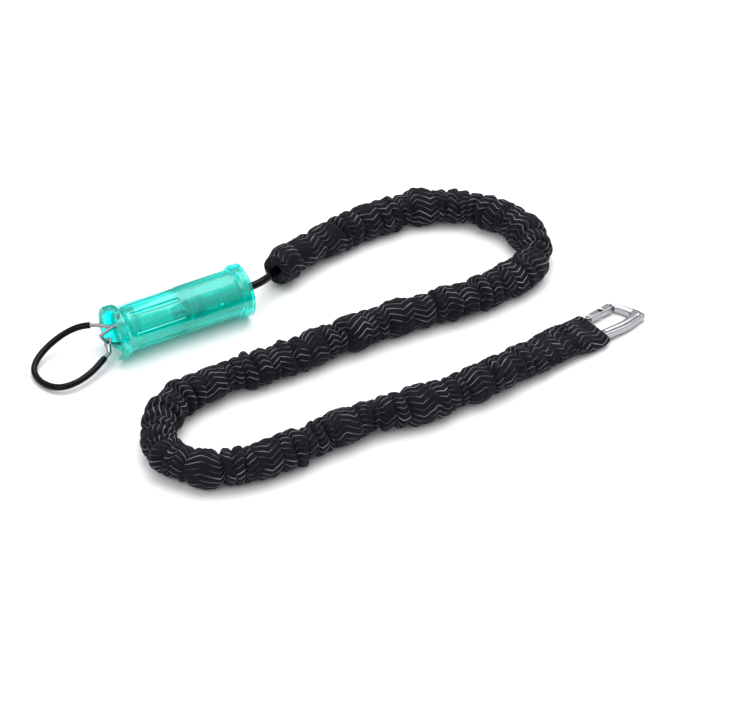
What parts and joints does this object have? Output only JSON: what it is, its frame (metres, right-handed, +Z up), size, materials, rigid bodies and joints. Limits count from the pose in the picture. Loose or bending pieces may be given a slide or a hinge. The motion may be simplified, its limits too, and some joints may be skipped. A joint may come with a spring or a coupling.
{
  "type": "elastic safety leash",
  "caption": "Elastic leash of gathered webbing over bungee, with a push-away quick release and steel cable loop at one end and a snap hook at the other.",
  "frame": {"origin": "on the plane the leash lies on, under the centre of the box round the release and the snap hook", "axes": "+Z up; the release lies along X with its mouth towards -X and the leash leaving it towards +X"},
  "size_m": [0.4536, 0.2574, 0.043],
  "materials": {
    "teal": "clear tinted gloss",
    "core_teal": "tinted gloss",
    "stainless": "polished stainless steel",
    "spring_steel": "drawn wire",
    "cable": "twisted strands",
    "cover": "gloss",
    "webbing": "woven with grey chevron lines",
    "rope": "braided",
    "bungee": "braided over latex",
    "acetal": "satin"
  },
  "bodies": {
    "leash": {"webbing_sleeve": "webbing", "bungee_core": "bungee", "bungee_start_clamp": "acetal", "bungee_end_clamp": "acetal", "webbing_hem": "webbing", "webbing_tab": "webbing", "load_strap": "webbing", "tab_stitching": "rope", "shank_rope": "rope", "shank_hose": "cover", "rope_stopper": "stainless"},
    "core": {"core_body": "core_teal", "core_end_ring": "acetal", "hook_pivot_pin": "stainless", "fixed_end_ferrule": "stainless", "swivel_washer": "stainless", "return_spring": "spring_steel", "loop_ferrule": "stainless", "loop_eye": "cable", "loop_cable": "cable", "loop_cover": "cover"},
    "sleeve": {"release_sleeve": "teal", "rear_cap": "teal", "spring_seat": "acetal"},
    "release_hook": {"release_hook": "stainless"},
    "snap_hook": {"snap_hook_body": "stainless", "gate_pin": "stainless", "gate_spring": "spring_steel"},
    "gate": {"snap_hook_gate": "stainless"}
  },
  "joints": [
    {"name": "release_swivel", "type": "hinge", "parent": "leash", "child": "core", "pos_m": [-0.189, 0.083, 0.0215], "axis": [1, 0, 0], "continuous": true},
    {"name": "sleeve_slide", "type": "slide", "parent": "core", "child": "sleeve", "axis": [1, 0, 0], "range_m": [0, 0.016], "stiffness_N_per_m": 600, "springref_m": -0.015, "deforming": ["return_spring"]},
    {"name": "release_hook_pivot", "type": "hinge", "parent": "core", "child": "release_hook", "pos_m": [-0.177, 0.083, 0.0305], "axis": [0, 1, 0], "range_deg": [0, 70]},
    {"name": "snap_hook_swing", "type": "hinge", "parent": "leash", "child": "snap_hook", "pos_m": [0.14863, -0.08399, 0.006], "axis": [-0.1392, 0.9903, 0], "range_deg": [-22, 16]},
    {"name": "gate_open", "type": "hinge", "parent": "snap_hook", "child": "gate", "pos_m": [0.1542, -0.06977, 0.00561], "axis": [-0.0518, -0.0073, -0.9986], "range_deg": [0, 28], "stiffness_Nm_per_rad": 0.05, "springref_deg": -11.46, "deforming": ["gate_spring"]}
  ],
  "couplings": [
    {"joint": "release_hook_pivot", "follows": "sleeve_slide", "rad_per_m": 76.348}
  ]
}
